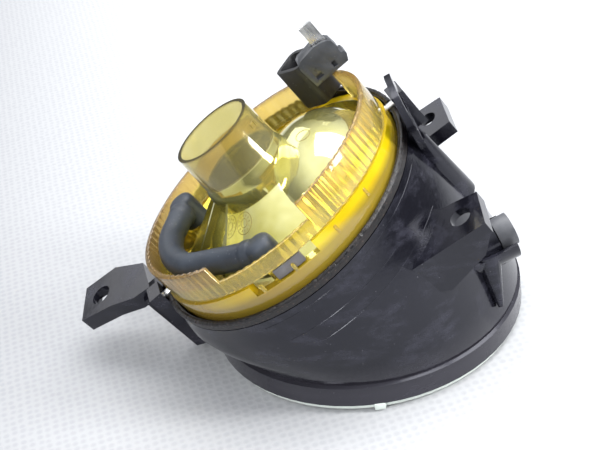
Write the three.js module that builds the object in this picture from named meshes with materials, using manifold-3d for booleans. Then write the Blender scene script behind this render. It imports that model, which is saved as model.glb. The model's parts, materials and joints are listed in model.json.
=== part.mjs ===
// Fog light with a raked front lens, an amber aimable reflector, its vent hose and its connector.
// Millimetres, +Z up. The lamp stands on its lens: the front of the lens is the plane z = 0, its
// centre is the origin, and +Z points to the rear. X is across the vehicle and Y is the vertical.
import * as THREE from "three";
import { mergeVertices } from "three/addons/utils/BufferGeometryUtils.js";
import Module from "manifold-3d";

const wasm = await Module();
wasm.setup();

// ---- driving dimensions --------------------------------------------------------------------
const GAP = 0.3; // space left between two pieces that rest on each other
const SEGMENTS = 64; // facets round a large diameter

const LENS_RADIUS = 45; // the lens is 90 across
const LENS_THICK = 2.2;
const LENS_CHAMFER = 0.8;
const SPIGOT_OUTER = 43.4; // ring on the back of the lens that enters the housing
const SPIGOT_WALL = 1.8;
const SPIGOT_TOP = 4.8;
const SEAL_INNER = 41.8; // rubber ring on the end of the spigot
const SEAL_WIDTH = 1.5;
const SEAL_TOP = 6.1;

const WALL = 2.2; // wall of the housing
const FLANGE_RADIUS = 45.9; // front band of the housing, over the lens spigot
const FLANGE_TOP = 8.6;
const FLANGE_SEAT = SPIGOT_OUTER + 0.5; // the band's own inside, clear of the spigot
const FLANGE_NECK = 45; // the step above the band
const FLANGE_THROAT = 41.2; // the opening behind the lens
const LOFT_START = 10.2; // the housing starts to lean back from this height
const LOFT_LENGTH = 40; // length of the leaning part before it is raked

const RAKE = 28.6; // degrees between the lens and the rear rim
const RIM_CENTRE = [-20.2, 0, 45.5];
const RIM_OUTER = 41.7; // radius of the rear rim
const RIM_INNER = 40.1;
const BEAD_HEIGHT = 2.2; // weld bead round the rear rim

const AIM = 8.5; // degrees the reflector leans up from the rear rim as it stands
const BALL_RADIUS = 39.5; // the reflector flange is a zone of this ball, so it turns in the rim
const FLANGE_LOW = -9;
const FLANGE_HIGH = 2.2;
const FLANGE_INNER = 36.6;
const BOWL_EDGE = FLANGE_INNER + 0.4; // the bowl is cut off just inside the flange
const BOWL_FRONT = -8.6; // height of the bowl's front edge

const COLLAR_OUTER = 38.9;
const COLLAR_INNER = 37.1;
const COLLAR_HIGH = 12.3;
const COLLAR_CUT_DOWN = 7; // height of the collar along its cut-down part
const FLUTES = 90;
const FLUTE_DEPTH = 0.6;

const NECK_MOUTH = 12; // outside radius of the bulb neck at its mouth
const NECK_BASE = 12.4;
const SHOULDER = 13.3; // radius of the rounded foot of the neck
const NECK_TOP = 28.3;
const NECK_WALL = 1.1;
const BOWL_WALL = 1.5;
const BOWL_TOP = 9.5;
const FIN = 1; // thickness of the fins round the neck

const HOSE_RADIUS = 3.6;
const HOSE_BORE = 2.2;
const ELBOW_RADIUS = 4.1;
const ELBOW_BOTTOM = 2.6;
const VENT_BORE = 1.1;

const PIN_RADIUS = 1.2; // aiming pivots
const PIN_HOLE = 1.5;
const PIN_SPAN = 50; // the pin holes are bored right across, this far each way

const EAR_PLATE = 2.2; // thickness of a mounting ear's face
const EAR_SKIRT = 2.6; // width of the skirt round it, on average

const rad = (degrees) => (degrees * Math.PI) / 180;

// ---- solids --------------------------------------------------------------------------------
// A three.js geometry as a solid. Triangles that have collapsed to a line are left out, and a
// geometry whose faces point inwards is turned round.
function solid(geometry) {
  const bare = geometry.index ? geometry.toNonIndexed() : geometry.clone();
  bare.deleteAttribute("normal");
  bare.deleteAttribute("uv");
  const merged = mergeVertices(bare, 1e-4);
  const points = merged.attributes.position.array;
  const index = merged.index.array;
  const kept = [];
  let volume = 0;
  for (let i = 0; i < index.length; i += 3) {
    const [a, b, c] = [index[i], index[i + 1], index[i + 2]];
    if (a === b || b === c || a === c) continue;
    kept.push(a, b, c);
    const [ax, ay, az] = points.slice(3 * a, 3 * a + 3);
    const [bx, by, bz] = points.slice(3 * b, 3 * b + 3);
    const [cx, cy, cz] = points.slice(3 * c, 3 * c + 3);
    volume += ax * (by * cz - bz * cy) + ay * (bz * cx - bx * cz) + az * (bx * cy - by * cx);
  }
  if (volume < 0) kept.reverse();
  return new wasm.Manifold(
    new wasm.Mesh({ numProp: 3, vertProperties: points, triVerts: new Uint32Array(kept) }),
  );
}

// A solid as a three.js geometry with flat faces.
function geometryOf(piece) {
  const mesh = piece.getMesh();
  const geometry = new THREE.BufferGeometry();
  geometry.setAttribute("position", new THREE.BufferAttribute(mesh.vertProperties, 3));
  geometry.setIndex(new THREE.BufferAttribute(mesh.triVerts, 1));
  const flat = geometry.toNonIndexed();
  flat.computeVertexNormals();
  return flat;
}

const join = (first, ...rest) => rest.reduce((whole, piece) => whole.add(piece), first);
const cut = (first, ...rest) => rest.reduce((whole, piece) => whole.subtract(piece), first);

// A solid of revolution about Z. The profile is a closed loop of [radius, height].
function turned(profile, segments = SEGMENTS) {
  const points = profile.map(([r, z]) => new THREE.Vector2(r, z));
  points.push(points[0].clone());
  return new THREE.LatheGeometry(points, segments).rotateX(Math.PI / 2);
}

// A ring with a rectangular section.
function ring(inner, outer, low, high, segments = SEGMENTS) {
  return turned([[inner, low], [outer, low], [outer, high], [inner, high]], segments);
}

// A rod between two points.
function rod(from, to, radius, segments = 20) {
  const a = new THREE.Vector3(...from);
  const b = new THREE.Vector3(...to);
  const along = b.clone().sub(a);
  const geometry = new THREE.CylinderGeometry(radius, radius, along.length(), segments);
  const turn = new THREE.Quaternion().setFromUnitVectors(
    new THREE.Vector3(0, 1, 0),
    along.clone().normalize(),
  );
  return geometry.applyQuaternion(turn).translate(...a.add(b).multiplyScalar(0.5).toArray());
}

// A rod that tapers from one radius to another.
function spike(from, to, radius, tipRadius) {
  const start = new THREE.Vector3(...from);
  const along = new THREE.Vector3(...to).sub(start);
  const geometry = new THREE.CylinderGeometry(tipRadius, radius, along.length(), 20);
  geometry.translate(0, along.length() / 2, 0);
  const turn = new THREE.Quaternion().setFromUnitVectors(
    new THREE.Vector3(0, 1, 0),
    along.clone().normalize(),
  );
  return geometry.applyQuaternion(turn).translate(...from);
}

// A box from its lowest to its highest corner.
function box(low, high) {
  const size = high.map((value, axis) => value - low[axis]);
  const middle = high.map((value, axis) => (value + low[axis]) / 2);
  return new THREE.BoxGeometry(...size).translate(...middle);
}

// A flat plate: an outline in XY, raised from one height to another.
function plate(outline, low, high) {
  const shape = new THREE.Shape(outline.map(([x, y]) => new THREE.Vector2(x, y)));
  const options = { depth: high - low, bevelEnabled: false };
  return new THREE.ExtrudeGeometry(shape, options).translate(0, 0, low);
}

// A wedge-shaped piece of space between two angles (degrees), used to cut rings.
function sector(from, to, low, high, reach = 60) {
  const outline = [[0, 0]];
  const steps = Math.max(2, Math.ceil((to - from) / 15));
  for (let i = 0; i <= steps; i++) {
    const angle = rad(from + ((to - from) * i) / steps);
    outline.push([reach * Math.cos(angle), reach * Math.sin(angle)]);
  }
  return plate(outline, low, high);
}

// ---- frames --------------------------------------------------------------------------------
const lamp = new THREE.Group();

// The rear rim: x runs across the lamp in the plane of the rim, z along the housing's own axis.
const rimFrame = new THREE.Group();
rimFrame.position.set(...RIM_CENTRE);
rimFrame.rotation.y = rad(-RAKE);
lamp.add(rimFrame);

// The reflector: the same centre, leaning up about x by the angle it is aimed at.
const aimFrame = new THREE.Group();
aimFrame.rotation.x = rad(-AIM);
rimFrame.add(aimFrame);
lamp.updateMatrixWorld(true);

const inRim = (geometry) => geometry.applyMatrix4(rimFrame.matrixWorld);

// The line of the two aiming pivots, bored right across.
const pinBore = () => rod([-PIN_SPAN, 0, 0], [PIN_SPAN, 0, 0], PIN_HOLE);

function put(frame, name, piece, material) {
  const geometry = piece.isBufferGeometry ? piece : geometryOf(piece);
  const mesh = new THREE.Mesh(geometry, material());
  mesh.name = name;
  frame.add(mesh);
}

const paint = (color, roughness, metalness = 0, extra = {}) => () =>
  new THREE.MeshStandardMaterial({ color, roughness, metalness, ...extra });

// ---- lens ----------------------------------------------------------------------------------
function lens() {
  const inner = SPIGOT_OUTER - SPIGOT_WALL;
  return turned([
    [0, 0],
    [LENS_RADIUS - LENS_CHAMFER, 0],
    [LENS_RADIUS, LENS_CHAMFER],
    [LENS_RADIUS, LENS_THICK],
    [SPIGOT_OUTER, LENS_THICK],
    [SPIGOT_OUTER, SPIGOT_TOP],
    [inner, SPIGOT_TOP],
    [inner, LENS_THICK],
    [0, LENS_THICK],
  ]);
}

function lensSeal() {
  return ring(SEAL_INNER, SEAL_INNER + SEAL_WIDTH, SPIGOT_TOP + GAP, SEAL_TOP);
}

// ---- housing -------------------------------------------------------------------------------
// Radius of the outside of the leaning part, as [share of the way to the rim, radius].
const SHELL_SHAPE = [
  [0, 45.2],
  [0.2, 45.1],
  [0.4, 44.9],
  [0.6, 44.3],
  [0.8, 42.9],
  [0.92, 42],
  [1, RIM_OUTER],
];

// Leans the part of a geometry above the front band back to the rear rim.
function raked(geometry) {
  const position = geometry.attributes.position;
  const start = new THREE.Vector3(0, 0, LOFT_START);
  const end = new THREE.Vector3(0, 0, -BEAD_HEIGHT - GAP).applyMatrix4(rimFrame.matrixWorld);
  const centre = new THREE.Vector3();
  for (let i = 0; i < position.count; i++) {
    const height = position.getZ(i);
    if (height <= LOFT_START) continue;
    const share = (height - LOFT_START) / LOFT_LENGTH;
    const lean = rad(RAKE) * share;
    centre.lerpVectors(start, end, share);
    const x = position.getX(i);
    position.setXYZ(
      i,
      centre.x + x * Math.cos(lean),
      centre.y + position.getY(i),
      centre.z + x * Math.sin(lean),
    );
  }
  return geometry;
}

const shellPoint = ([share, radius], inset) => [
  radius - inset,
  LOFT_START + share * LOFT_LENGTH,
];

function shell() {
  const outside = SHELL_SHAPE.map((row) => shellPoint(row, 0));
  const inside = SHELL_SHAPE.map((row) => shellPoint(row, WALL)).reverse();
  inside[0] = [RIM_INNER, LOFT_START + LOFT_LENGTH];
  return raked(
    turned([
      [FLANGE_SEAT, LENS_THICK + GAP],
      [FLANGE_RADIUS, LENS_THICK + GAP],
      [FLANGE_RADIUS, FLANGE_TOP],
      [FLANGE_NECK, FLANGE_TOP + 0.4],
      [FLANGE_NECK, FLANGE_TOP + 1],
      ...outside,
      ...inside,
      [FLANGE_THROAT, FLANGE_TOP],
      [FLANGE_THROAT, SEAL_TOP + GAP],
      [FLANGE_SEAT, SEAL_TOP + GAP],
    ]),
  );
}

// The space inside the housing, which the webs and bosses outside must not reach into.
function shellSpace() {
  const rows = SHELL_SHAPE.map((row) => shellPoint(row, WALL - 0.4));
  const top = LOFT_START + LOFT_LENGTH;
  rows[rows.length - 1] = [RIM_INNER, top];
  const inBand = FLANGE_SEAT + 0.5;
  return raked(turned([[0, 0], [inBand, 0], [inBand, FLANGE_TOP], ...rows, [0, top]]));
}

// A mounting ear: a plate parallel to the rear rim with a skirt under its edge and a bolt hole.
function ear(outline, top, depth, hole, holeRadius) {
  const body = solid(plate(outline, top - depth, top));
  const middle = outline.reduce((sum, [x, y]) => [sum[0] + x, sum[1] + y], [0, 0]);
  const centre = middle.map((value) => value / outline.length);
  const inset = outline.map(([x, y]) => {
    const [dx, dy] = [x - centre[0], y - centre[1]];
    const share = 1 - EAR_SKIRT / Math.hypot(dx, dy);
    return [centre[0] + dx * share, centre[1] + dy * share];
  });
  const hollow = solid(plate(inset, top - depth - 1, top - EAR_PLATE));
  const bore = solid(rod([...hole, top - depth - 1], [...hole, top + 1], holeRadius, 28));
  return cut(body, hollow, bore);
}

const LEFT_EAR = [
  [-66.2, 27.4],
  [-54.6, 25.8],
  [-45, 17],
  [-45, 4],
  [-51, 5],
  [-58.8, 9.8],
  [-70, 14.2],
];
const LEFT_HOLE = [-61.6, 18.6];
const UPPER_EAR = [[38, 17], [52.5, 14], [50.3, 1], [38, 2]];
const UPPER_HOLE = [45.9, 9];
const UPPER_TOP = -17; // height of the upper ear's face below the rear rim
const SIDE_EAR = [
  [14.8, -37],
  [24, -25],
  [36.4, -27.7],
  [44.2, -30.8],
  [41.1, -43.2],
  [15.1, -38.8],
];
const SIDE_HOLE = [36.9, -34.8];
const SIDE_HOLE_RADIUS = 3;
const SIDE_TOP = -18; // height of the side ear's face below the rear rim
const SIDE_WEB = 1.8; // thickness of the web and of the lip at the ear's end

// The side ear: a plate with a deep web along its near edge.
function sideEar() {
  const face = solid(plate(SIDE_EAR, SIDE_TOP - EAR_PLATE, SIDE_TOP));
  const [outer, end, start] = SIDE_EAR.slice(3);
  const length = Math.hypot(end[0] - start[0], end[1] - start[1]);
  const webOutline = [[-4, 0], [length, 0], [length, -3], [21, -9], [8, -13], [0, -8], [-4, -6]];
  const web = plate(webOutline, -SIDE_WEB, 0);
  web.rotateX(Math.PI / 2); // the outline's second axis now points along the housing
  web.rotateZ(Math.atan2(end[1] - start[1], end[0] - start[0]));
  web.translate(start[0], start[1], SIDE_TOP - 0.1);
  const inwards = ([x, y]) => [x - SIDE_WEB, y + 0.4];
  const lipOutline = [outer, end, inwards(end), inwards(outer)];
  const lip = solid(plate(lipOutline, SIDE_TOP - 4, SIDE_TOP - 0.1));
  const below = [...SIDE_HOLE, SIDE_TOP - 20];
  const bore = solid(rod(below, [...SIDE_HOLE, SIDE_TOP + 2], SIDE_HOLE_RADIUS, 28));
  return cut(join(face, solid(web), lip), bore);
}

// A tab that stands at the side of the rear rim with a hole through it, its rib, and the
// cone-shaped gusset that carries it down the side of the housing.
function tallTab() {
  const corners = [
    [2, -12],
    [5, -5],
    [8.6, 1.5],
    [9, 4.4],
    [5, 5.6],
    [-3, 4.8],
    [-6, 3.2],
    [-9, -1.8],
    [-8, -5],
    [-6, -12],
  ];
  const face = new THREE.Shape(corners.map(([x, y]) => new THREE.Vector2(x, y)));
  const hole = new THREE.Path();
  hole.absarc(0, 0, 3.2, 0, 2 * Math.PI, true);
  face.holes.push(hole);
  const options = { depth: 1.8, bevelEnabled: false, curveSegments: 12 };
  const geometry = new THREE.ExtrudeGeometry(face, options).translate(0, 0, -0.9);
  geometry.rotateX(Math.PI / 2).rotateZ(Math.PI / 2); // the face now looks sideways
  geometry.rotateY(rad(9)).rotateZ(rad(-8));
  geometry.translate(43.5, -11.6, 5.7);
  const rib = box([36, -13.4, -14], [43, -11.6, -3]);
  const gusset = new THREE.CylinderGeometry(2, 5.2, 24, 24).rotateX(Math.PI / 2);
  gusset.rotateY(rad(5)).rotateX(rad(4)).translate(40.5, -12.5, -17);
  return join(solid(geometry), solid(rib), solid(gusset));
}

const KNOB_CENTRE = [38.5, -24, 31.5]; // middle of the knob's outer face
const KNOB_AXIS = new THREE.Vector3(0.968, 0, 0.25).normalize();
const KNOB_RADIUS = 4.7;
const KNOB_LENGTH = 5;
const HEX_RADIUS = 2.6; // recess for a key in the knob's face
const SLEEVE_RADIUS = 5.6; // bearing of the shaft
const CRADLE_OUTER = 8; // half pipe under the knob
const CRADLE_WALL = 1.3;
const CRADLE_END = -15; // along the shaft from the knob's face
const SHAFT_RADIUS = 2;
const SEAL_OUTER = 3.6;

// The shaft's own frame: z along the shaft, y to the rear of the lamp.
const SHAFT_REAR = new THREE.Vector3(-KNOB_AXIS.z, 0, KNOB_AXIS.x);
const SHAFT_FRAME = new THREE.Matrix4()
  .makeBasis(SHAFT_REAR.clone().cross(KNOB_AXIS), SHAFT_REAR, KNOB_AXIS)
  .setPosition(...KNOB_CENTRE);

const alongKnob = (distance) =>
  KNOB_AXIS.clone()
    .multiplyScalar(distance)
    .add(new THREE.Vector3(...KNOB_CENTRE))
    .toArray();

// The bearing that carries the adjuster, and the horn that braces it down the housing.
function adjusterBearing() {
  const sleeve = solid(rod(alongKnob(-16), alongKnob(-KNOB_LENGTH - 0.4), SLEEVE_RADIUS, 28));
  const half = new THREE.Shape();
  half.absarc(0, 0, CRADLE_OUTER, Math.PI, 2 * Math.PI, false);
  half.absarc(0, 0, CRADLE_OUTER - CRADLE_WALL, 2 * Math.PI, Math.PI, true);
  const cradle = raise(half, CRADLE_END, -1.4, 14);
  const floor = box([-7.4, -CRADLE_OUTER, CRADLE_END], [7.4, -5, CRADLE_END + 2]);
  const horn = spike([29, -28.5, 28], [30, -34, 14], 4, 0.8);
  const onShaft = [cradle, floor].map((piece) => solid(piece.applyMatrix4(SHAFT_FRAME)));
  return join(sleeve, ...onShaft, solid(horn));
}

function housing() {
  const arm = solid(inRim(box([-48.9, 2.6, -30], [-38, 9.4, 1])));
  const leftEar = solid(inRim(geometryOf(ear(LEFT_EAR, 3, 5, LEFT_HOLE, 3.3))));
  const upperEar = solid(inRim(geometryOf(ear(UPPER_EAR, UPPER_TOP, 4.5, UPPER_HOLE, 2.5))));
  const side = solid(inRim(geometryOf(sideEar())));
  const tab = solid(inRim(geometryOf(tallTab())));
  const bosses = [-1, 1].map((end) => {
    const reach = [RIM_OUTER + GAP, 46].map((r) => r * end).sort((a, b) => a - b);
    return solid(inRim(box([reach[0], -3.2, -9], [reach[1], 3.2, 3.4])));
  });
  const added = join(arm, leftEar, upperEar, side, tab, ...bosses, adjusterBearing());
  const floor = solid(box([-90, -90, -20], [90, 90, LENS_THICK + GAP]));
  const whole = join(solid(shell()), cut(added, solid(shellSpace()), floor));
  const top = RIM_OUTER + GAP;
  const rimClear = turned([[0, -2.5], [top, -2.5], [top, 6], [0, 6]]);
  const pinHoles = solid(inRim(pinBore()));
  const shaftHole = solid(rod(alongKnob(-30), alongKnob(2), SHAFT_RADIUS + GAP, 24));
  const sealSeat = solid(rod(alongKnob(-7.7), alongKnob(-3), SEAL_OUTER + GAP, 28));
  return cut(whole, pinHoles, solid(inRim(rimClear)), shaftHole, sealSeat);
}

function rimBead() {
  const bead = solid(ring(RIM_INNER, RIM_OUTER, -BEAD_HEIGHT, 0));
  return cut(bead, solid(pinBore()));
}

// ---- reflector -----------------------------------------------------------------------------
const ballAt = (height) => Math.sqrt(BALL_RADIUS ** 2 - height ** 2);

function flangeRing() {
  const outside = [];
  const steps = 8;
  for (let i = 0; i <= steps; i++) {
    const height = FLANGE_LOW + ((FLANGE_HIGH - FLANGE_LOW) * i) / steps;
    outside.push([ballAt(height), height]);
  }
  return turned([[FLANGE_INNER, FLANGE_LOW], ...outside, [FLANGE_INNER, FLANGE_HIGH]]);
}

const BOWL_SHAPE = [
  [37.4, BOWL_FRONT],
  [35.5, -6.2],
  [30, -1.8],
  [24, 2.4],
  [18, 6.2],
  [12.5, BOWL_TOP],
];
const BELOW_BOWL = -14;

// The outside of the bowl, or its inside when it is moved in by the wall.
function bowl(inset) {
  const rows = BOWL_SHAPE.map(([r, z]) => [r - inset * 0.5, z - inset]);
  const edge = rows[0][0];
  return turned([[0, BELOW_BOWL], [edge, BELOW_BOWL], ...rows, [0, BOWL_TOP - inset]], 60);
}

const LOBE_CENTRE = [16, -2, -7];
const LOBE_RADII = [20, 27, 21];

// The domed lobe beside the neck.
function lobe(inset) {
  return new THREE.SphereGeometry(1, 36, 20)
    .rotateX(Math.PI / 2)
    .scale(...LOBE_RADII.map((radius) => radius - inset))
    .translate(...LOBE_CENTRE);
}

function neck(inset) {
  return turned(
    [
      [0, 4 - inset],
      [SHOULDER - inset, 4 - inset],
      [SHOULDER - inset, 12],
      [SHOULDER - 0.3 - inset, 15],
      [NECK_BASE - inset, 17],
      [NECK_MOUTH - inset, NECK_TOP + inset],
      [0, NECK_TOP + inset],
    ],
    48,
  );
}

function reflector() {
  const reach = solid(
    turned([[0, BOWL_FRONT], [BOWL_EDGE, BOWL_FRONT], [BOWL_EDGE, 40], [0, 40]], 60),
  );
  const outer = join(solid(bowl(0)), solid(lobe(0)), solid(neck(0))).intersect(reach);
  const inner = join(solid(bowl(BOWL_WALL)), solid(lobe(BOWL_WALL)), solid(neck(NECK_WALL)));
  const fins = [168, 192, 226].map((angle) => {
    const outline = [[11.9, 13.6], [20, 8.6], [31, 2], [31, -4], [11.9, 3]];
    const web = plate(outline, -FIN / 2, FIN / 2);
    return solid(web.rotateX(Math.PI / 2).rotateZ(rad(angle)));
  });
  const body = cut(join(outer, ...fins), inner);
  const window = solid(sector(-112, -82, -1.2, 4));
  const flange = cut(solid(flangeRing()), window);
  const radius = VENT_BORE + GAP;
  const vents = VENTS.map(([x, y]) => solid(rod([x, y, BELOW_BOWL], [x, y, 12], radius, 16)));
  return cut(join(body, flange), solid(pinBore()), ...vents);
}

// The fluted ring behind the flange, cut down along the near side and open for the connector.
function rearCollar() {
  const shape = new THREE.Shape();
  shape.absarc(0, 0, COLLAR_OUTER, 0, 2 * Math.PI, false);
  const flutes = [];
  for (let i = 0; i < 2 * FLUTES; i++) {
    const angle = (-Math.PI * i) / FLUTES;
    const radius = COLLAR_INNER + (i % 2 ? FLUTE_DEPTH : 0);
    flutes.push(new THREE.Vector2(radius * Math.cos(angle), radius * Math.sin(angle)));
  }
  shape.holes.push(new THREE.Path(flutes));
  const depth = COLLAR_HIGH - FLANGE_HIGH - GAP;
  const options = { depth, bevelEnabled: false, curveSegments: 40 };
  const tall = new THREE.ExtrudeGeometry(shape, options).translate(0, 0, FLANGE_HIGH + GAP);
  const lowPart = solid(sector(-122, -77, COLLAR_CUT_DOWN, 20));
  const notch = solid(sector(27, 50, -2, 20));
  return cut(solid(tall), lowPart, notch);
}

// ---- vent hose -----------------------------------------------------------------------------
const VENTS = [[-25, 20.2], [-6.4, -31.4]]; // where the two nipples stand
const ELBOW_TOP = [12.3, 9.2];

const hosePath = () =>
  new THREE.CatmullRomCurve3(
    [
      [-25.4, 19, 8.4],
      [-28.2, 13.5, 8.9],
      [-31.4, 6, 9],
      [-31.4, -4.5, 8.8],
      [-27.6, -14.5, 8.4],
      [-20, -22, 7.6],
      [-13.2, -27.4, 6.6],
      [-7.4, -30.8, 5.6],
    ].map((point) => new THREE.Vector3(...point)),
  );

function circle(radius) {
  const shape = new THREE.Shape();
  shape.absarc(0, 0, radius, 0, 2 * Math.PI, false);
  return shape;
}

function tube(path, radius, steps) {
  const options = { steps, extrudePath: path, bevelEnabled: false, curveSegments: 8 };
  return new THREE.ExtrudeGeometry(circle(radius), options);
}

function ventHose() {
  const path = hosePath();
  const elbows = VENTS.map(([x, y], i) =>
    solid(rod([x, y, ELBOW_BOTTOM], [x, y, ELBOW_TOP[i]], ELBOW_RADIUS, 24)),
  );
  const bores = VENTS.map(([x, y]) => solid(rod([x, y, 1], [x, y, 7.5], HOSE_BORE, 16)));
  const outside = join(solid(tube(path, HOSE_RADIUS, 24)), ...elbows);
  return cut(outside, solid(tube(path, HOSE_BORE - 0.4, 20)), ...bores);
}

// A barbed spout on the bowl that one end of the hose pushes over.
function nipple([x, y]) {
  const base = solid(rod([x, y, -6], [x, y, 2.2], 3.3, 24));
  const spout = solid(rod([x, y, 2], [x, y, 7], HOSE_BORE - GAP, 20));
  const bore = solid(rod([x, y, -8], [x, y, 9], VENT_BORE, 16));
  return cut(join(base, spout), solid(bowl(-GAP)), bore);
}

// ---- connector -----------------------------------------------------------------------------
const SOCKET_TURN = 38.5; // degrees round the collar
const CONTACTS = [-2.4, 2.4]; // where the two contacts stand, across the socket
const SOCKET = { near: 30.4, far: 40.6, half: 5.75, low: 6.8, high: 20.5, wall: 1.4, depth: 9 };
const CAP_OUTLINE = [
  [28.2, COLLAR_HIGH + 0.5],
  [39.6, COLLAR_HIGH + 0.5],
  [40.6, 14.8],
  [40.3, 15.9],
  [39.5, 16.1],
  [39.5, 17.2],
  [39.8, 17.6],
  [39.4, 20.4],
  [38.6, 21.3],
  [37.3, 21.9],
  [34.6, 22.4],
  [29.2, 21.7],
  [28, 21],
  [27.6, 19.6],
];
const CAP_NEAR = 14.3;
const CAP_FAR = 20.6;
const BLADE = { low: [34.4, 16.2], high: [38.5, 17], bottom: 17, top: 28.4 };

function roundedBox(x0, x1, y0, y1, radius) {
  const shape = new THREE.Shape();
  shape.absarc(x1 - radius, y0 + radius, radius, -Math.PI / 2, 0, false);
  shape.absarc(x1 - radius, y1 - radius, radius, 0, Math.PI / 2, false);
  shape.absarc(x0 + radius, y1 - radius, radius, Math.PI / 2, Math.PI, false);
  shape.absarc(x0 + radius, y0 + radius, radius, Math.PI, 1.5 * Math.PI, false);
  return shape;
}

function raise(shape, low, high, curveSegments = 5) {
  const options = { depth: high - low, bevelEnabled: false, curveSegments };
  return new THREE.ExtrudeGeometry(shape, options).translate(0, 0, low);
}

const socketBlock = (margin) =>
  raise(
    roundedBox(
      SOCKET.near - margin,
      SOCKET.far + margin,
      -SOCKET.half - margin,
      SOCKET.half + margin,
      2.6,
    ),
    SOCKET.low - margin,
    SOCKET.high + margin,
  ).rotateZ(rad(SOCKET_TURN));

function connectorSocket() {
  const { near, far, half, high, wall, depth } = SOCKET;
  const mouth = roundedBox(near + wall, far - wall, wall - half, half - wall, 1.4);
  const recess = raise(mouth, high - depth, high + 1);
  const slots = CONTACTS.map((y) => box([34, y - 0.7, high - depth - 3.3], [37, y + 0.7, high]));
  const turn = (piece) => solid(piece.rotateZ(rad(SOCKET_TURN)));
  return cut(solid(socketBlock(0)), turn(recess), ...slots.map(turn));
}

function connectorPin(y) {
  const floor = SOCKET.high - SOCKET.depth;
  const pin = box([34.3, y - 0.4, floor - 3], [36.7, y + 0.4, floor + 6]);
  return pin.rotateZ(rad(SOCKET_TURN));
}

// The side cover of the connector, which holds the blade and has two small latch windows.
function connectorCap() {
  const block = plate(CAP_OUTLINE, -CAP_FAR, -CAP_NEAR).rotateX(Math.PI / 2);
  const low = [BLADE.low[0] - GAP, BLADE.low[1] - GAP, BLADE.bottom - GAP];
  const high = [BLADE.high[0] + GAP, BLADE.high[1] + GAP, 24];
  const windows = [
    box([35.4, 12, 13.9], [36.7, 15.8, 15.6]),
    box([29.6, 12, 14.2], [31.8, 15.4, 15.4]),
  ];
  return cut(solid(block), solid(socketBlock(GAP)), solid(box(low, high)), ...windows.map(solid));
}

function spadeTerminal() {
  return box([...BLADE.low, BLADE.bottom], [...BLADE.high, BLADE.top]);
}

// ---- small parts ---------------------------------------------------------------------------
// A stub in the side of the flange that the reflector turns on.
function pivotPin(side) {
  return rod([side * (FLANGE_INNER + 0.4), 0, 0], [side * 45, 0, 0], PIN_RADIUS, 16);
}

// The cap in front of the bulb, held by three legs that end just inside the bowl.
function glareShield() {
  const profile = [[0, -9], [7, -9], [8, -8], [8, -1], [7.2, -1], [7.2, -7.6], [0, -8.2]];
  const cap = solid(turned(profile, 40));
  const legs = [70, 190, 310].map((angle) => {
    const leg = plate([[7.4, -6.4], [19, -0.6], [19, 0.4], [7.4, -5]], -1.2, 1.2);
    return solid(leg.rotateX(Math.PI / 2).rotateZ(rad(angle)));
  });
  return join(cap, ...legs);
}

function aimClip() {
  const body = solid(ring(37, 38.7, -0.9, FLANGE_HIGH));
  return body.intersect(solid(sector(-101, -88, -2, 4)));
}

// The crank on the end of the adjuster's shaft: its pin is offset towards the aim axis.
const CRANK_OFFSET = 3;
const CRANK_PIN = 1;

function crankPin(distance) {
  const centre = new THREE.Vector3(...alongKnob(distance));
  const inward = new THREE.Vector3(...RIM_CENTRE).sub(centre);
  inward.addScaledVector(KNOB_AXIS, -inward.dot(KNOB_AXIS)).setLength(CRANK_OFFSET);
  return centre.add(inward).toArray();
}

function adjusterCrank() {
  const disc = solid(rod(alongKnob(-23.2), alongKnob(-20.9), CRANK_OFFSET + CRANK_PIN + 0.6, 28));
  return join(disc, solid(rod(crankPin(-28), crankPin(-23), CRANK_PIN, 16)));
}

// The arm the crank drives: a rod down from the flange to a slotted block round the crank pin.
function aimArm() {
  const pin = aimFrame.worldToLocal(new THREE.Vector3(...crankPin(-26)));
  const turn = Math.atan2(pin.y, -pin.z);
  const block = box([-1.2, -3.4, -5], [1.2, 3.4, 5]);
  const slot = box([-4, -CRANK_PIN - 0.5, -3], [4, CRANK_PIN + 0.5, 3]);
  const place = (piece) => solid(piece.rotateX(turn).translate(...pin.toArray()));
  const top = pin.clone().multiplyScalar(1 - 4.4 / Math.hypot(pin.y, pin.z)).setX(pin.x);
  const stem = rod(top.toArray(), [29.4, -23, FLANGE_LOW - 1], 1.5, 16);
  return join(cut(place(block), place(slot)), solid(stem));
}

function adjusterKnob() {
  const head = solid(rod(alongKnob(-KNOB_LENGTH), alongKnob(0), KNOB_RADIUS, 32));
  const shape = new THREE.Shape();
  for (let i = 0; i < 6; i++) {
    const angle = (Math.PI * i) / 3;
    shape[i ? "lineTo" : "moveTo"](HEX_RADIUS * Math.cos(angle), HEX_RADIUS * Math.sin(angle));
  }
  const hex = raise(shape, -2, 1).applyMatrix4(SHAFT_FRAME);
  const shaft = solid(rod(alongKnob(-20.6), alongKnob(-4), SHAFT_RADIUS, 20));
  return join(cut(head, solid(hex)), shaft);
}

// Rubber ring that seals the shaft inside the end of the bearing.
function adjusterSeal() {
  const inner = SHAFT_RADIUS + GAP;
  const profile = [[inner, -0.4], [SEAL_OUTER, -0.4], [SEAL_OUTER, 0.9], [inner, 0.9]];
  return turned(profile, 24).translate(0, 0, -7).applyMatrix4(SHAFT_FRAME);
}

// ---- assembly ------------------------------------------------------------------------------
const BLACK = paint(0x1b1c1f, 0.25);
const AMBER = paint(0xd9a520, 0.15, 0, { transparent: true, opacity: 0.7 });
const GOLD = paint(0xc9b84a, 0.15, 0.6);
const CLEAR = paint(0xdfe8df, 0.05, 0, { transparent: true, opacity: 0.5 });
const RUBBER = paint(0x47505a, 0.7);
const GREY = paint(0x6b6d72, 0.5);
const METAL = paint(0xc4c6c8, 0.25, 1);

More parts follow.
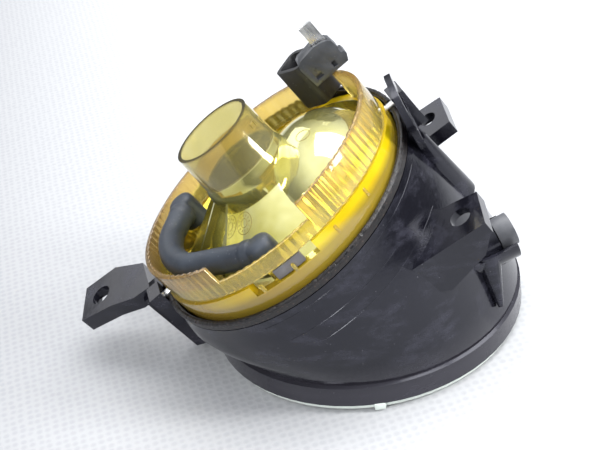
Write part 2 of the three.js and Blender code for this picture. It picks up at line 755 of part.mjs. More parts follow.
put(lamp, "lens", lens(), CLEAR);
put(lamp, "lens_seal", lensSeal(), RUBBER);
put(lamp, "housing", housing(), BLACK);
put(rimFrame, "rim_bead", rimBead(), BLACK);
put(aimFrame, "reflector", reflector(), GOLD);
put(aimFrame, "rear_collar", rearCollar(), AMBER);
put(aimFrame, "vent_hose", ventHose(), RUBBER);
put(aimFrame, "vent_nipple_left", nipple(VENTS[0]), AMBER);
put(aimFrame, "vent_nipple_right", nipple(VENTS[1]), AMBER);
put(aimFrame, "connector_socket", connectorSocket(), BLACK);
put(aimFrame, "connector_cap", connectorCap(), GREY);
put(aimFrame, "connector_pin_1", connectorPin(CONTACTS[0]), METAL);
put(aimFrame, "connector_pin_2", connectorPin(CONTACTS[1]), METAL);
put(aimFrame, "spade_terminal", spadeTerminal(), METAL);
put(aimFrame, "glare_shield", glareShield(), METAL);
put(aimFrame, "aim_clip", aimClip(), GREY);
put(aimFrame, "aim_arm", aimArm(), GREY);
put(aimFrame, "pivot_pin_left", pivotPin(-1), METAL);
put(aimFrame, "pivot_pin_right", pivotPin(1), METAL);
put(lamp, "adjuster_knob", adjusterKnob(), GREY);
put(lamp, "adjuster_crank", adjusterCrank(), GREY);
put(lamp, "adjuster_seal", adjusterSeal(), RUBBER);

export default lamp;
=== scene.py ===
import json
import math

import bmesh
import bpy
from mathutils import Euler, Matrix, Vector
from mathutils.bvhtree import BVHTree


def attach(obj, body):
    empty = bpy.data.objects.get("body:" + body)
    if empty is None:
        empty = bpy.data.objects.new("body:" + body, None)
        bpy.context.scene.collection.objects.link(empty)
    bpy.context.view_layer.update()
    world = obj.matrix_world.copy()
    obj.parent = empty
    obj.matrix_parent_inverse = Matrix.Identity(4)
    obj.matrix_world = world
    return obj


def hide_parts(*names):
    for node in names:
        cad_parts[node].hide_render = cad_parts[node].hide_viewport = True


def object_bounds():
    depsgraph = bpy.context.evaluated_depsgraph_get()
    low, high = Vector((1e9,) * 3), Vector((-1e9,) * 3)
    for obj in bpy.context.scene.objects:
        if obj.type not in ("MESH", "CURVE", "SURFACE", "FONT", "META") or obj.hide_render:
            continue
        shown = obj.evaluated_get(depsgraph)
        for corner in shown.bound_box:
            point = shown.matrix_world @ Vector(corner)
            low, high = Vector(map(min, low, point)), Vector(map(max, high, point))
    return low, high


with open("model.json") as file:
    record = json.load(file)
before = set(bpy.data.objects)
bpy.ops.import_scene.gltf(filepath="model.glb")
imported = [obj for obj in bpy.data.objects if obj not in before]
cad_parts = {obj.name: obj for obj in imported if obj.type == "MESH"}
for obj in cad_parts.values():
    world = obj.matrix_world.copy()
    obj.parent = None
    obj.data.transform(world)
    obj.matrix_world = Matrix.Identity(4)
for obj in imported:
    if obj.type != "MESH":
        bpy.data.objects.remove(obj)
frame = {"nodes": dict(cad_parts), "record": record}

CAD_BOX = [list(corner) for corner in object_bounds()]
MM = 0.001

# The part's own frames: the rear rim leans back by RAKE, and the reflector is tilted up by AIM.
RAKE = math.radians(28.6)
AIM = math.radians(8.5)
RIM_CENTRE = Vector((-20.2, 0, 45.5)) * MM
IN_RIM = Matrix.Translation(RIM_CENTRE) @ Euler((0, -RAKE, 0)).to_matrix().to_4x4()
IN_AIM = Matrix.Translation(RIM_CENTRE) @ Euler((-AIM, -RAKE, 0)).to_matrix().to_4x4()
IN_LAMP = Matrix.Identity(4)

# Sizes of the lamp in mm. Heights on the reflector and its collar are along its own axis, from
# the middle of the rim.
LENS_RADIUS = 45
BAND_RADIUS = 45.9  # front band of the housing
FLANGE_RADIUS = 39.5
FLANGE_INNER = 36.6
COLLAR_TOP = 12.3
COLLAR_CUT = 7  # top of the collar where it is cut down
FLUTES = 90  # ribs round the collar
NECK_RADIUS = 12.2
NECK_TOP = 28.3
NECK_COATED_TO = 17  # the bright inner coating ends at this height on the neck

HOUSING = "housing_body"
REFLECTOR = "reflector_body"


# ---- material helpers -----------------------------------------------------------------------
class Look:
    """A Principled material, built up from noise in the part's own coordinates."""

    def __init__(self, name, in_aim=False, **values):
        self.material = bpy.data.materials.new(name)
        self.material.use_nodes = True
        self.tree = self.material.node_tree
        self.shader = self.tree.nodes["Principled BSDF"]
        self.place = self.node("ShaderNodeTexCoord").outputs["Object"]
        if in_aim:
            mapping = self.node("ShaderNodeMapping", vector_type="TEXTURE")
            mapping.inputs["Location"].default_value = RIM_CENTRE
            mapping.inputs["Rotation"].default_value = (-AIM, -RAKE, 0)
            self.link(self.place, mapping.inputs["Vector"])
            self.place = mapping.outputs["Vector"]
        for key, value in values.items():
            self.shader.inputs[key.replace("_", " ")].default_value = value

    def node(self, kind, **settings):
        made = self.tree.nodes.new(kind)
        for key, value in settings.items():
            setattr(made, key, value)
        return made

    def link(self, source, target):
        self.tree.links.new(source, target)

    def noise(self, scale, detail=4.0, roughness=0.55, stretch=None):
        made = self.node("ShaderNodeTexNoise")
        made.inputs["Scale"].default_value = scale
        made.inputs["Detail"].default_value = detail
        made.inputs["Roughness"].default_value = roughness
        place = self.place
        if stretch:
            mapping = self.node("ShaderNodeMapping")
            mapping.inputs["Scale"].default_value = stretch
            self.link(place, mapping.inputs["Vector"])
            place = mapping.outputs["Vector"]
        self.link(place, made.inputs["Vector"])
        return made.outputs["Fac"]

    def specks(self, scale, size):
        """A mask of soft dots, one to a cell of a lattice; size is their radius in cells."""
        made = self.node("ShaderNodeTexVoronoi")
        made.inputs["Scale"].default_value = scale
        self.link(self.place, made.inputs["Vector"])
        return self.span(made.outputs["Distance"], size, size * 0.5, 0, 1)

    def span(self, value, low, high, out_low, out_high):
        """Maps low..high to out_low..out_high, and holds the ends beyond them."""
        made = self.node("ShaderNodeMapRange")
        for key, number in zip(
            ("From Min", "From Max", "To Min", "To Max"), (low, high, out_low, out_high)
        ):
            made.inputs[key].default_value = number
        self.link(value, made.inputs["Value"])
        return made.outputs["Result"]

    def math(self, operation, a, b):
        made = self.node("ShaderNodeMath", operation=operation)
        for socket, value in zip(made.inputs, (a, b)):
            if isinstance(value, (int, float)):
                socket.default_value = value
            else:
                self.link(value, socket)
        return made.outputs[0]

    def mix(self, share, first, second):
        """A colour between two others; each is a colour or a socket."""
        made = self.node("ShaderNodeMix", data_type="RGBA")
        self.link(share, made.inputs["Factor"])
        for socket, value in zip((made.inputs[6], made.inputs[7]), (first, second)):
            if isinstance(value, tuple):
                socket.default_value = (*value, 1)
            else:
                self.link(value, socket)
        return made.outputs[2]

    def axes(self):
        """x, y and z in the look's own frame, in metres."""
        split = self.node("ShaderNodeSeparateXYZ")
        self.link(self.place, split.inputs[0])
        return split.outputs

    def radius(self):
        """The distance from the look's z axis."""
        x, y, _ = self.axes()
        square = self.math("ADD", self.math("MULTIPLY", x, x), self.math("MULTIPLY", y, y))
        return self.math("SQRT", square, 0)

    def height(self):
        return self.axes()[2]

    def across(self):
        return self.axes()[0]

    def around(self, count):
        """A wave from 0 to 1 that repeats count times round the z axis."""
        x, y, _ = self.axes()
        angle = self.math("ARCTAN2", y, x)
        wave = self.math("SINE", self.math("MULTIPLY", angle, count), 0)
        return self.span(wave, -1, 1, 0, 1)

    def set(self, socket, value):
        self.link(value, self.shader.inputs[socket])

    def bump(self, value, distance, strength=1.0):
        made = self.node("ShaderNodeBump")
        made.inputs["Strength"].default_value = strength
        made.inputs["Distance"].default_value = distance
        self.link(value, made.inputs["Height"])
        self.link(made.outputs["Normal"], self.shader.inputs["Normal"])


def black_plastic():
    """Glossy black plastic with smears and a little dust, paler toward the front band."""
    look = Look(
        "black_plastic",
        IOR=1.42,
        Coat_Weight=0.15,
        Coat_Roughness=0.03,
        Specular_Tint=(0.86, 0.88, 1, 1),
    )
    grain = look.noise(900, 3)
    cloud = look.noise(40, 5)
    patches = look.span(look.noise(90, 2), 0.45, 0.75, 0, 0.6)
    dust = look.math("MULTIPLY", look.specks(420, 0.07), patches)
    smears = look.span(look.noise(75, 7, 0.7, stretch=(1, 1, 2)), 0.5, 0.72, 0, 0.7)
    # The base turns paler toward the front band, from 16 mm down to 6 mm.
    paler_toward_band = look.math("MULTIPLY", look.span(look.height(), 16 * MM, 6 * MM, 0.05, 1), 0.8)
    base = look.mix(cloud, (0.0015, 0.0015, 0.003), (0.006, 0.006, 0.010))
    base = look.mix(smears, base, (0.035, 0.035, 0.050))
    base = look.mix(paler_toward_band, base, (0.036, 0.034, 0.042))
    look.set("Base Color", look.mix(dust, base, (0.35, 0.35, 0.38)))
    look.set("Roughness", look.span(look.math("ADD", cloud, smears), 0.3, 1.0, 0.1, 0.3))
    look.bump(look.math("ADD", grain, look.math("MULTIPLY", cloud, 8)), 0.00005, 0.4)
    return look.material


def bead_black():
    """Rough black with rusty specks."""
    look = Look("bead_black", IOR=1.48)
    lumps = look.noise(700, 5, 0.7)
    specks = look.specks(900, 0.2)
    base = look.mix(look.span(lumps, 0.4, 0.7, 0, 1), (0.003, 0.003, 0.004), (0.016, 0.011, 0.01))
    base = look.mix(look.math("MULTIPLY", specks, 0.18), base, (0.4, 0.28, 0.22))
    look.set("Base Color", base)
    look.set("Roughness", look.span(lumps, 0.3, 0.7, 0.22, 0.5))
    look.bump(lumps, 0.0003, 0.8)
    return look.material


def amber_reflector():
    """Yellow plastic: clear at the neck, deep yellow at the flange with painted shade inside the
    rim and toward the left ear, and coated over the bowl.
    """
    look = Look("amber_reflector", in_aim=True, IOR=1.47, Coat_Weight=0.6, Coat_Roughness=0.03)
    height = look.height()
    below = look.span(height, NECK_COATED_TO * MM, (NECK_COATED_TO - 0.4) * MM, 0, 1)
    within = look.span(look.radius(), (FLANGE_INNER + 0.3) * MM, FLANGE_INNER * MM, 0, 1)
    coated = look.math("MULTIPLY", below, within)
    cloud = look.span(look.noise(55, 3), 0.35, 0.65, 0, 1)
    bright = look.mix(cloud, (0.53, 0.48, 0.11), (0.77, 0.73, 0.33))
    haze = look.mix(cloud, (0.72, 0.64, 0.25), (0.84, 0.77, 0.38))
    mouth = look.span(height, (NECK_TOP - 0.7) * MM, (NECK_TOP - 0.1) * MM, 0, 0.75)
    neck = look.mix(mouth, haze, (0.22, 0.17, 0.07))
    flange = look.span(height, 5 * MM, 3 * MM, 0, 1)
    yellow = look.mix(cloud, (1.0, 0.64, 0.001), (1.0, 0.80, 0.014))
    # Painted shade: the flange turns dark brown where it goes down inside the housing's rim.
    shade_inside_rim = look.span(height, 0.5 * MM, -1.8 * MM, 0, 0.8)
    yellow = look.mix(shade_inside_rim, yellow, (0.34, 0.24, 0.04))
    # Painted shade: the flange darkens toward the left ear.
    shade_toward_left_ear = look.span(look.across(), -4 * MM, -34 * MM, 0, 0.8)
    yellow = look.mix(shade_toward_left_ear, yellow, (0.30, 0.19, 0.03))
    look.set("Base Color", look.mix(coated, look.mix(flange, neck, yellow), bright))
    look.set("Metallic", look.math("MULTIPLY", coated, 0.85))
    clearness = look.math("SUBTRACT", 0.9, look.math("MULTIPLY", flange, 0.45))
    uncoated = look.math("SUBTRACT", clearness, coated)
    look.set("Transmission Weight", look.math("MAXIMUM", uncoated, 0))
    look.set("Roughness", look.span(look.noise(140, 4), 0.3, 0.7, 0.05, 0.12))
    look.bump(look.noise(70, 3), 0.0006, 0.35)
    return look.material


def amber_collar():
    """Clear amber plastic, with a painted highlight to one side, painted shade to the other and at
    its top edge, and a rib to each flute with a painted pale stripe.
    """
    look = Look("amber_collar", in_aim=True, IOR=1.47, Coat_Weight=0.3, Coat_Roughness=0.05)
    height = look.height()
    cloud = look.noise(60, 4)
    above_cut = look.span(height, (COLLAR_CUT + 0.2) * MM, (COLLAR_CUT + 1) * MM, 0.15, 1)
    rib_relief_and_sheen = look.math("MULTIPLY", look.around(FLUTES), above_cut)
    base = look.mix(cloud, (0.88, 0.60, 0.11), (0.97, 0.75, 0.22))
    # Painted sheen: a pale stripe along each flute. The same wave also gives the ribs their bump.
    base = look.mix(look.math("MULTIPLY", rib_relief_and_sheen, 0.15), base, (1.0, 0.86, 0.45))
    # Painted highlight: the collar turns pale cream toward its right side.
    painted_highlight_side = look.span(look.across(), 8 * MM, 36 * MM, 0, 0.45)
    base = look.mix(painted_highlight_side, base, (1.0, 0.88, 0.48))
    # Painted shade: the collar turns browner toward the left ear.
    shade_toward_left_ear = look.span(look.across(), 12 * MM, -36 * MM, 0, 0.7)
    base = look.mix(shade_toward_left_ear, base, (0.50, 0.34, 0.15))
    below_cut = look.span(height, (COLLAR_CUT + 0.4) * MM, (COLLAR_CUT - 0.4) * MM, 0, 0.6)
    base = look.mix(below_cut, base, (0.80, 0.70, 0.16))
    # Painted shade: the top edge of the collar turns dark brown.
    edge = look.span(height, (COLLAR_TOP - 1.1) * MM, (COLLAR_TOP - 0.1) * MM, 0, 0.7)
    look.set("Base Color", look.mix(edge, base, (0.45, 0.27, 0.11)))
    look.set("Transmission Weight", look.span(cloud, 0.3, 0.7, 0.72, 0.88))
    look.set("Roughness", look.span(look.noise(200, 4), 0.3, 0.7, 0.07, 0.2))
    look.bump(look.math("ADD", look.noise(260, 4), rib_relief_and_sheen), 0.00006, 0.4)
    return look.material


def hose_rubber():
    """Grey-blue rubber with a dusty grain."""
    look = Look("hose_rubber", in_aim=True, IOR=1.5)
    cloud = look.noise(120, 5)
    grain = look.noise(1600, 4, 0.7)
    base = look.mix(look.span(cloud, 0.3, 0.7, 0, 1), (0.014, 0.019, 0.028), (0.034, 0.043, 0.058))
    base = look.mix(look.math("MULTIPLY", look.specks(800, 0.12), 0.5), base, (0.3, 0.3, 0.31))
    look.set("Base Color", base)
    look.set("Roughness", look.span(cloud, 0.3, 0.7, 0.42, 0.62))
    look.bump(grain, 0.00005, 0.6)
    return look.material


def clear_glass():
    """Clear lens material, milky at the lens's edge."""
    look = Look("clear_glass", IOR=1.5, Coat_Weight=0.2)
    cloud = look.noise(80, 4)
    edge = look.span(look.radius(), (LENS_RADIUS - 0.8) * MM, (LENS_RADIUS - 0.2) * MM, 0, 0.6)
    clearness = look.span(cloud, 0.3, 0.7, 0.75, 0.88)
    look.set("Base Color", look.mix(cloud, (0.80, 0.90, 0.82), (0.92, 0.97, 0.92)))
    look.set("Transmission Weight", look.math("SUBTRACT", clearness, edge))
    look.set("Roughness", look.span(look.noise(150, 5), 0.3, 0.7, 0.08, 0.22))
    look.bump(look.noise(400, 3), 0.00003, 0.3)
    return look.material


def moulded(name, dark, light, rough=(0.35, 0.55), in_aim=True):
    """Satin moulded plastic with a fine spark texture."""
    look = Look(name, in_aim=in_aim, IOR=1.48)
    cloud = look.noise(150, 5)
    grain = look.noise(2200, 3)
    base = look.mix(look.span(cloud, 0.3, 0.7, 0, 1), dark, light)
    base = look.mix(look.math("MULTIPLY", look.specks(700, 0.1), 0.35), base, (0.5, 0.5, 0.5))
    look.set("Base Color", base)
    look.set("Roughness", look.span(cloud, 0.3, 0.7, *rough))
    look.bump(look.math("ADD", grain, cloud), 0.00004, 0.5)
    return look.material


def metal(name, dark, light, in_aim=True):
    """Tinned or bright metal with drawn marks along its length."""
    look = Look(name, in_aim=in_aim, Metallic=1.0)
    drawn = look.noise(500, 5, 0.6, stretch=(1, 1, 0.06))
    stain = look.noise(300, 3)
    base = look.mix(look.span(stain, 0.35, 0.7, 0, 1), light, dark)
    look.set("Base Color", base)
    look.set("Roughness", look.span(drawn, 0.3, 0.7, 0.16, 0.38))
    look.bump(drawn, 0.00003, 0.6)
    return look.material


def floor_fabric():
    """White non-woven cloth with a lattice of soft bonded dots, with painted shade that makes it
    darker to the left of the lamp.
    """
    look = Look("floor_fabric", Roughness=0.85)
    dots = look.node("ShaderNodeTexVoronoi")
    dots.inputs["Scale"].default_value = 420
    dots.inputs["Randomness"].default_value = 0.25
    look.link(look.place, dots.inputs["Vector"])
    dimple = look.span(dots.outputs["Distance"], 0.2, 0.5, 0, 1)
    fuzz = look.noise(900, 4, 0.7)
    # Painted shade: the cloth is far darker on the left side of the floor than on the right.
    left = look.mix(dimple, (0.185, 0.187, 0.20), (0.21, 0.213, 0.222))
    right = look.mix(dimple, (0.45, 0.455, 0.47), (0.50, 0.505, 0.515))
    look.set("Base Color", look.mix(look.span(look.across(), -0.2, 0, 0, 1), left, right))
    look.bump(look.math("ADD", dimple, fuzz), 0.0002, 0.35)
    return look.material


MATERIALS = {
    "black_plastic": black_plastic(),
    "bead_black": bead_black(),
    "amber_reflector": amber_reflector(),
    "amber_collar": amber_collar(),
    "hose_rubber": hose_rubber(),
    "clear_glass": clear_glass(),
    "amber_mark": moulded("amber_mark", (0.16, 0.12, 0.02), (0.32, 0.25, 0.05)),
    "seal_rubber": moulded(
        "seal_rubber", (0.02, 0.02, 0.022), (0.035, 0.035, 0.037), rough=(0.55, 0.75)
    ),
    "socket_plastic": moulded("socket_plastic", (0.006, 0.006, 0.007), (0.016, 0.016, 0.018)),
    "cap_plastic": moulded(
        "cap_plastic", (0.03, 0.032, 0.037), (0.06, 0.063, 0.07), rough=(0.25, 0.4)
    ),
    "clip_plastic": moulded("clip_plastic", (0.07, 0.065, 0.065), (0.17, 0.165, 0.17)),
    "knob_plastic": moulded(
        "knob_plastic", (0.07, 0.072, 0.08), (0.13, 0.133, 0.145), in_aim=False
    ),
    "tinned_metal": metal("tinned_metal", (0.66, 0.66, 0.65), (0.93, 0.93, 0.92)),
    "bright_metal": metal("bright_metal", (0.7, 0.7, 0.72), (0.9, 0.9, 0.91)),
}


# ---- the CAD nodes --------------------------------------------------------------------------
WELD = 2e-6  # points closer than this are one, in metres
FLAT = math.radians(0.5)  # facets closer to one plane than this are joined
REAL_EDGE = math.radians(32)  # edges sharper than this stay sharp
BEVELLED_EDGE = math.radians(40)  # edges sharper than this are rounded


def smooth_group():
    """Geometry nodes that weld a faceted solid and shade it smooth except at its real edges."""
    group = bpy.data.node_groups.new("smooth_by_angle", "GeometryNodeTree")
    group.interface.new_socket("Geometry", in_out="INPUT", socket_type="NodeSocketGeometry")
    group.interface.new_socket("Geometry", in_out="OUTPUT", socket_type="NodeSocketGeometry")
    nodes = group.nodes
    source, sink = nodes.new("NodeGroupInput"), nodes.new("NodeGroupOutput")
    weld = nodes.new("GeometryNodeMergeByDistance")
    weld.inputs["Distance"].default_value = WELD
    forget = nodes.new("GeometryNodeRemoveAttribute")
    forget.inputs["Name"].default_value = "custom_normal"
    faces = nodes.new("GeometryNodeSetShadeSmooth")
    edges = nodes.new("GeometryNodeSetShadeSmooth")
    edges.domain = "EDGE"
    angle = nodes.new("GeometryNodeInputMeshEdgeAngle")
    gentle = nodes.new("FunctionNodeCompare")
    gentle.operation = "LESS_THAN"
    gentle.inputs["B"].default_value = REAL_EDGE
    link = group.links.new
    link(source.outputs[0], weld.inputs["Geometry"])
    link(weld.outputs[0], forget.inputs["Geometry"])
    link(forget.outputs[0], faces.inputs["Geometry"])
    link(faces.outputs[0], edges.inputs["Geometry"])
    link(angle.outputs["Unsigned Angle"], gentle.inputs["A"])
    link(gentle.outputs[0], edges.inputs["Shade Smooth"])
    link(edges.outputs[0], sink.inputs[0])
    return group


SMOOTH = smooth_group()

# How far the edges of a CAD node are rounded, in mm.
ROUNDED = {
    "housing": 0.35,
    "rear_collar": 0.25,
    "connector_socket": 0.3,
    "connector_cap": 0.4,
    "adjuster_knob": 0.35,
    "spade_terminal": 0.12,
    "aim_clip": 0.2,
    "lens": 0.25,
}


def smooth(obj, rounding):
    """Shades a CAD node smooth, and rounds its edges where a width in mm is given."""
    if rounding:
        weld = obj.modifiers.new("weld", "WELD")
        weld.merge_threshold = WELD
        flat = obj.modifiers.new("flat", "DECIMATE")
        flat.decimate_type = "DISSOLVE"
        flat.angle_limit = FLAT
        bevel = obj.modifiers.new("rounding", "BEVEL")
        bevel.width = rounding * MM
        bevel.segments = 2
        bevel.limit_method = "ANGLE"
        bevel.angle_limit = BEVELLED_EDGE
        bevel.use_clamp_overlap = True
        bevel.miter_outer = "MITER_ARC"
    obj.modifiers.new("smooth", "NODES").node_group = SMOOTH


def dress_cad_nodes():
    """Gives each CAD node the material of its slot in the record."""
    slots = {row["node"]: row["material_slot"] for row in frame["record"]["subparts"]}
    for name, obj in frame["nodes"].items():
        obj.data.materials.clear()
        obj.data.materials.append(MATERIALS[slots[name]])
        smooth(obj, ROUNDED.get(name, 0))


# ---- mesh helpers ---------------------------------------------------------------------------
def mesh_of(name, build):
    """A mesh drawn by build(bm), with its faces turned outward."""
    bm = bmesh.new()
    build(bm)
    bmesh.ops.recalc_face_normals(bm, faces=bm.faces)
    mesh = bpy.data.meshes.new(name)
    bm.to_mesh(mesh)
    bm.free()
    return mesh


def piece(name, build, slot, body, matrix=IN_LAMP, look=None):
    """An added piece whose build(bm) draws it in the frame of matrix; look is a finer material."""
    mesh = mesh_of(name, build)
    obj = bpy.data.objects.new(name, mesh)
    bpy.context.collection.objects.link(obj)
    mesh.transform(matrix)
    mesh.materials.append(MATERIALS[look or slot])
    obj.modifiers.new("smooth", "NODES").node_group = SMOOTH
    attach(obj, body)
    return obj


def circle(radius, steps):
    """The points of a circle as (x, y), with the first one again at the end."""
    angles = [2 * math.pi * k / steps for k in range(steps + 1)]
    return [(radius * math.cos(angle), radius * math.sin(angle)) for angle in angles]


def sweep(bm, points, radii, sides):
    """A tube along points in mm, with a radius at each point and a flat cap at each end."""
    points = [Vector(point) for point in points]
    last = len(points) - 1
    normal = None
    rings = []
    for i, point in enumerate(points):
        after = points[i + 1] if i < last else point
        before = points[i - 1] if i else point
        along = (after - before).normalized()
        if normal is None:
            normal = along.orthogonal()
        normal = (normal - along * normal.dot(along)).normalized()
        side = along.cross(normal)
        ring = []
        for k in range(sides):
            angle = 2 * math.pi * k / sides
            offset = (normal * math.cos(angle) + side * math.sin(angle)) * radii[i]
            ring.append(bm.verts.new((point + offset) * MM))
        rings.append(ring)
    for first, second in zip(rings, rings[1:]):
        for k in range(sides):
            bm.faces.new((first[k], first[k - 1], second[k - 1], second[k]))
    bm.faces.new(rings[0])
    bm.faces.new(reversed(rings[-1]))


def rounded_block(bm, centre, size, turn, rounding):
    """A small block with rounded edges, turned round z; all sizes in mm."""
    matrix = Matrix.Translation(Vector(centre) * MM) @ Matrix.Rotation(turn, 4, "Z")
    matrix = matrix @ Matrix.Diagonal((*(Vector(size) * MM), 1))
    made = bmesh.ops.create_cube(bm, size=1, matrix=matrix)
    edges = list({edge for vert in made["verts"] for edge in vert.link_edges})
    bmesh.ops.bevel(
        bm, geom=edges, offset=rounding * MM, segments=2, profile=0.6, affect="EDGES"
    )


def spline(points, steps):
    """A smooth curve through points, as a list of steps + 1 points."""
    points = [Vector(point) for point in points]
    ends = [2 * points[0] - points[1], *points, 2 * points[-1] - points[-2]]
    curve = []
    for i in range(steps + 1):
        place = i * (len(points) - 1) / steps
        k = min(int(place), len(points) - 2)
        t = place - k
        a, b, c, d = ends[k : k + 4]
        curve.append(
            0.5
            * (
                2 * b
                + (c - a) * t
                + (2 * a - 5 * b + 4 * c - d) * t * t
                + (3 * b - a - 3 * c + d) * t * t * t
            )
        )
    return curve


def surface_of(node):
    """The surface of a CAD node, as a tree that rays can be cast on."""
    obj = frame["nodes"][node]
    bm = bmesh.new()
    bm.from_mesh(obj.data)
    tree = BVHTree.FromBMesh(bm)
    bm.free()
    return tree


# ---- vent hose ------------------------------------------------------------------------------
HOSE_RADIUS = 3.6
CUFF = 0.28  # how far the cuff at each end stands out
HOSE_STEPS = 90
HOSE_SIDES = 32
CUFF_STEPS = range(4, 9)  # the cuff, in steps from the end of the path
ELBOW_RADIUS = 4.1
VENTS = ((-25, 20.2, 12.3), (-6.4, -31.4, 9.2))  # x, y and the height of each elbow's top
FOOT = ((2.7, 0.93), (3.0, 1), (4.0, 1))  # an elbow's lower end: height, share of its radius
DOME = ((2.2, 1), (1.2, 0.95), (0.5, 0.8), (0.12, 0.55), (0, 0.3))  # its top: depth, share
HOSE_PATH = (
    (-25.4, 19, 8.4),
    (-28.2, 13.5, 8.9),
    (-31.4, 6, 9),
    (-31.4, -4.5, 8.8),
    (-27.6, -14.5, 8.4),
    (-20, -22, 7.6),
    (-13.2, -27.4, 6.6),
    (-7.4, -30.8, 5.6),
)


def vent_hose():
    """One rubber moulding: a bent tube with a domed elbow and a cuff at each end."""

    def build(bm):
        radii = []
        for i in range(HOSE_STEPS + 1):
            in_cuff = min(i, HOSE_STEPS - i) in CUFF_STEPS
            radii.append(HOSE_RADIUS + (CUFF if in_cuff else 0))
        sweep(bm, spline(HOSE_PATH, HOSE_STEPS), radii, HOSE_SIDES)
        for x, y, top in VENTS:
            outline = [*FOOT, *((top - depth, share) for depth, share in DOME)]
            points = [(x, y, height) for height, _ in outline]
            sweep(bm, points, [ELBOW_RADIUS * share for _, share in outline], HOSE_SIDES)

    hose = piece("vent_hose_skin", build, "hose_rubber", REFLECTOR, IN_AIM)
    remesh = hose.modifiers.new("one_skin", "REMESH")
    remesh.mode = "VOXEL"
    remesh.voxel_size = 0.3 * MM
    remesh.use_smooth_shade = True
    blur = hose.modifiers.new("soften", "SMOOTH")
    blur.factor = 0.5
    blur.iterations = 6
    hose.modifiers.move(0, 2)  # the smooth shading comes last
    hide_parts("vent_hose")


# ---- marks on the reflector -----------------------------------------------------------------
LINE_SIDES = 6
FINE_LINE = 0.1  # radius of a mark's line on the bowl
FRAME_LINE = 0.13  # and of a frame's on the neck
ABOVE_ALL = 40  # rays that look for the bowl start at this height
STAMP_CENTRE = (-8.6, -13.9)
STAMP_RINGS = (2.7, 1.1)
STAMP_TICK = (1.6, 1.9, 2.2)  # radii along a tick
STAMP_TICKS = 12
EJECTORS = ((18.3, -8), (13, 14))
EJECTOR_RADIUS = 2.1


def laid_on(tree, frame_matrix, x, y):
    """The point of a surface under (x, y) of a frame, in that frame and in mm, or None."""
    start = frame_matrix @ (Vector((x, y, ABOVE_ALL)) * MM)
    down = frame_matrix.to_3x3() @ Vector((0, 0, -1))
    hit, _, _, _ = tree.ray_cast(start, down)
    return None if hit is None else (frame_matrix.inverted() @ hit) / MM


def raised_line(bm, tree, centre, line):
    """A fine line that lies on the reflector, its points given from a centre."""
    spots = [laid_on(tree, IN_AIM, centre[0] + x, centre[1] + y) for x, y in line]
    spots = [spot for spot in spots if spot is not None]
    if len(spots) > 1:
        sweep(bm, spots, [FINE_LINE] * len(spots), LINE_SIDES)


def mould_stamp():
    """A round tooling stamp on the bowl: two rings and a wheel of plain ticks."""
    tree = surface_of("reflector")
    lines = [circle(radius, 36) for radius in STAMP_RINGS]
    for k in range(STAMP_TICKS):
        angle = 2 * math.pi * k / STAMP_TICKS
        lines.append([(r * math.cos(angle), r * math.sin(angle)) for r in STAMP_TICK])

    def build(bm):
        for line in lines:
            raised_line(bm, tree, STAMP_CENTRE, line)

    piece("mould_stamp", build, "amber_reflector", REFLECTOR, IN_AIM, "amber_mark")


def ejector_marks():
    """Two plain rings left by the mould's ejector pins."""
    tree = surface_of("reflector")

    def build(bm):
        for centre in EJECTORS:
            raised_line(bm, tree, centre, circle(EJECTOR_RADIUS, 32))

    piece("ejector_marks", build, "amber_reflector", REFLECTOR, IN_AIM, "amber_mark")


def neck_marks():
    """Small square frames moulded on the outside of the neck."""
    half = 0.9
    corners = [(-half, -half), (half, -half), (half, half), (-half, half), (-half, -half)]

    def build(bm):
        for degrees, height in ((-33, 24), (-8, 22)):
            spots = []
            for across, up in corners:
                angle = math.radians(degrees) + across / NECK_RADIUS
                x, y = NECK_RADIUS * math.cos(angle), NECK_RADIUS * math.sin(angle)
                spots.append((x, y, height + up))
            sweep(bm, spots, [FRAME_LINE] * len(spots), LINE_SIDES)

    piece("neck_marks", build, "amber_reflector", REFLECTOR, IN_AIM, "amber_mark")


def flange_tabs():
    """Short locating tabs that stand out of the flange below the collar."""
    reach = FLANGE_RADIUS - 0.3

    def build(bm):
        for degrees in (-54, -72, -93, -108):
            angle = math.radians(degrees)
            centre = (reach * math.cos(angle), reach * math.sin(angle), -0.2)
            rounded_block(bm, centre, (0.9, 0.9, 2.6), angle, 0.2)

    piece("flange_tabs", build, "amber_collar", REFLECTOR, IN_AIM)


# ---- marks on the housing -------------------------------------------------------------------
BEAD_RADIUS = 41.05
BEAD_HEIGHT = -0.25  # middle of the bead, from the rim's plane
BEAD_THICK = 0.78  # its own radius
BEAD_LUMP = 0.12  # how far its lumps stand out
PIN_GAP = 3  # degrees left open to each side of an aiming pin
PARTING_LINE = 0.09  # radius of a line
PARTING_LINES = ((4.6, -118, -28), (10.5, -112, -62), (15, -104, -40))  # depth, angles of ends


def bead_skin():
    """The lumpy welded bead on the rim, left open where the two aiming pins pass."""
    steps = 320

    def lump(angle):
        """An uneven wave round the rim, within -1 to 1."""
        return sum(math.sin(n * angle + n) for n in (31, 53, 97, 141, 203)) / 5

    def build(bm):
        for pin in (0, 180):
            spots, radii = [], []
            for k in range(steps + 1):
                angle = math.radians(pin + PIN_GAP + (180 - 2 * PIN_GAP) * k / steps)
                radius = BEAD_RADIUS + BEAD_LUMP / 2 * lump(2 * angle)
                height = BEAD_HEIGHT + BEAD_LUMP * lump(angle + 1)
                spots.append((radius * math.cos(angle), radius * math.sin(angle), height))
                radii.append(BEAD_THICK + BEAD_LUMP * lump(3 * angle))
            sweep(bm, spots, radii, 10)

    piece("bead_skin", build, "bead_black", HOUSING, IN_RIM)


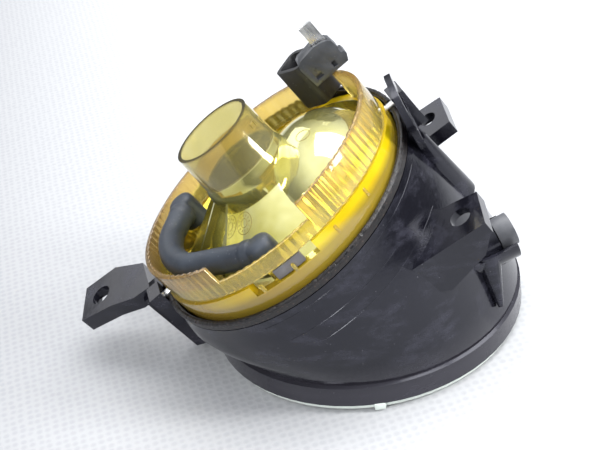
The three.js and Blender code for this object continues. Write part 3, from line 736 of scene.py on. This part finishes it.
def parting_lines():
    """Fine raised lines of the mould, parallel to the rear rim, on the side with the side ear."""
    tree = surface_of("housing")
    steps = 60
    outside = 60  # rays start this far from the rim's axis

    def build(bm):
        for depth, first, last in PARTING_LINES:
            spots = []
            for k in range(steps + 1):
                angle = math.radians(first + (last - first) * k / steps)
                x, y = math.cos(angle), math.sin(angle)
                start = IN_RIM @ (Vector((outside * x, outside * y, -depth)) * MM)
                inward = -(IN_RIM.to_3x3() @ Vector((x, y, 0)))
                hit, _, _, _ = tree.ray_cast(start, inward)
                spots.append(IN_RIM.inverted() @ hit / MM)
            sweep(bm, spots, [PARTING_LINE] * len(spots), LINE_SIDES)

    piece("parting_lines", build, "black_plastic", HOUSING, IN_RIM)


def lens_tab():
    """The clear nib that stands out at the lens's edge, below the front band."""
    angle = math.radians(-103)
    reach = BAND_RADIUS - 0.5
    centre = (reach * math.cos(angle), reach * math.sin(angle), 1.6)

    def build(bm):
        rounded_block(bm, centre, (1.5, 3.2, 2.2), angle, 0.5)

    piece("lens_tab", build, "clear_glass", HOUSING)


# ---- stage ----------------------------------------------------------------------------------
FLOOR_SIZE = 3
FLOOR_DROP = 0.0002  # the floor lies this far below the lens


def stage():
    """The floor that the lamp stands on."""
    height = CAD_BOX[0][2] - FLOOR_DROP
    bpy.ops.mesh.primitive_plane_add(size=FLOOR_SIZE, location=(0, 0, height))
    floor = bpy.context.object
    floor.name = "floor"
    floor.data.materials.append(floor_fabric())


def area_light(name, place, target, size, power):
    """A rectangular soft box of a size in metres and a power in watts."""
    data = bpy.data.lights.new(name, "AREA")
    data.shape = "RECTANGLE"
    data.size, data.size_y = size
    data.energy = power
    light = bpy.data.objects.new(name, data)
    light.location = place
    aim = Vector(target) - Vector(place)
    light.rotation_euler = aim.to_track_quat("-Z", "Y").to_euler()
    bpy.context.collection.objects.link(light)


def lights():
    """A white room, brightest overhead, with four soft boxes."""
    world = bpy.data.worlds.new("studio")
    bpy.context.scene.world = world
    world.use_nodes = True
    nodes, link = world.node_tree.nodes, world.node_tree.links.new
    background = nodes["Background"]
    background.inputs["Color"].default_value = (0.92, 0.95, 1, 1)
    split = nodes.new("ShaderNodeSeparateXYZ")
    rise = nodes.new("ShaderNodeMapRange")
    rise.interpolation_type = "SMOOTHSTEP"
    for key, number in (("From Min", 0.05), ("From Max", 0.95), ("To Min", 0.15), ("To Max", 1.5)):
        rise.inputs[key].default_value = number
    link(nodes.new("ShaderNodeTexCoord").outputs["Generated"], split.inputs[0])
    link(split.outputs["Z"], rise.inputs["Value"])
    link(rise.outputs["Result"], background.inputs["Strength"])
    middle = (0, 0, 0.03)
    area_light("overhead", (0.15, 0.2, 0.75), middle, (0.9, 0.5), 7)
    area_light("right_front", (0.5, -0.3, 0.45), middle, (0.16, 0.34), 5)
    area_light("left_front", (-0.4, -0.45, 0.35), middle, (0.14, 0.24), 2)
    area_light("left_back", (-0.33, 0.66, 0.36), middle, (0.5, 0.3), 0.7)


def camera():
    """A camera beside the lamp, raised and rolled a little, that looks at its middle."""
    azimuth = math.radians(-8.573)
    elevation = math.radians(33.266)
    roll = math.radians(-11.202)
    target = Vector((-0.01547, 0, 0.0355))
    distance = 0.34129
    back = Vector(
        (
            math.sin(azimuth) * math.cos(elevation),
            -math.cos(azimuth) * math.cos(elevation),
            math.sin(elevation),
        )
    )
    level = Vector((math.cos(azimuth), math.sin(azimuth), 0))
    upright = back.cross(level)
    right = math.cos(roll) * level + math.sin(roll) * upright
    up = math.cos(roll) * upright - math.sin(roll) * level
    data = bpy.data.cameras.new("camera")
    data.lens = 72
    data.sensor_width = 36
    data.clip_start = 0.01
    obj = bpy.data.objects.new("camera", data)
    turn = Matrix((right, up, back)).transposed().to_4x4()
    obj.matrix_world = Matrix.Translation(target + back * distance) @ turn
    bpy.context.collection.objects.link(obj)
    bpy.context.scene.camera = obj


bpy.context.scene.view_settings.view_transform = "Standard"
camera()
stage()
lights()
dress_cad_nodes()
vent_hose()
mould_stamp()
ejector_marks()
neck_marks()
flange_tabs()
lens_tab()
bead_skin()
parting_lines()
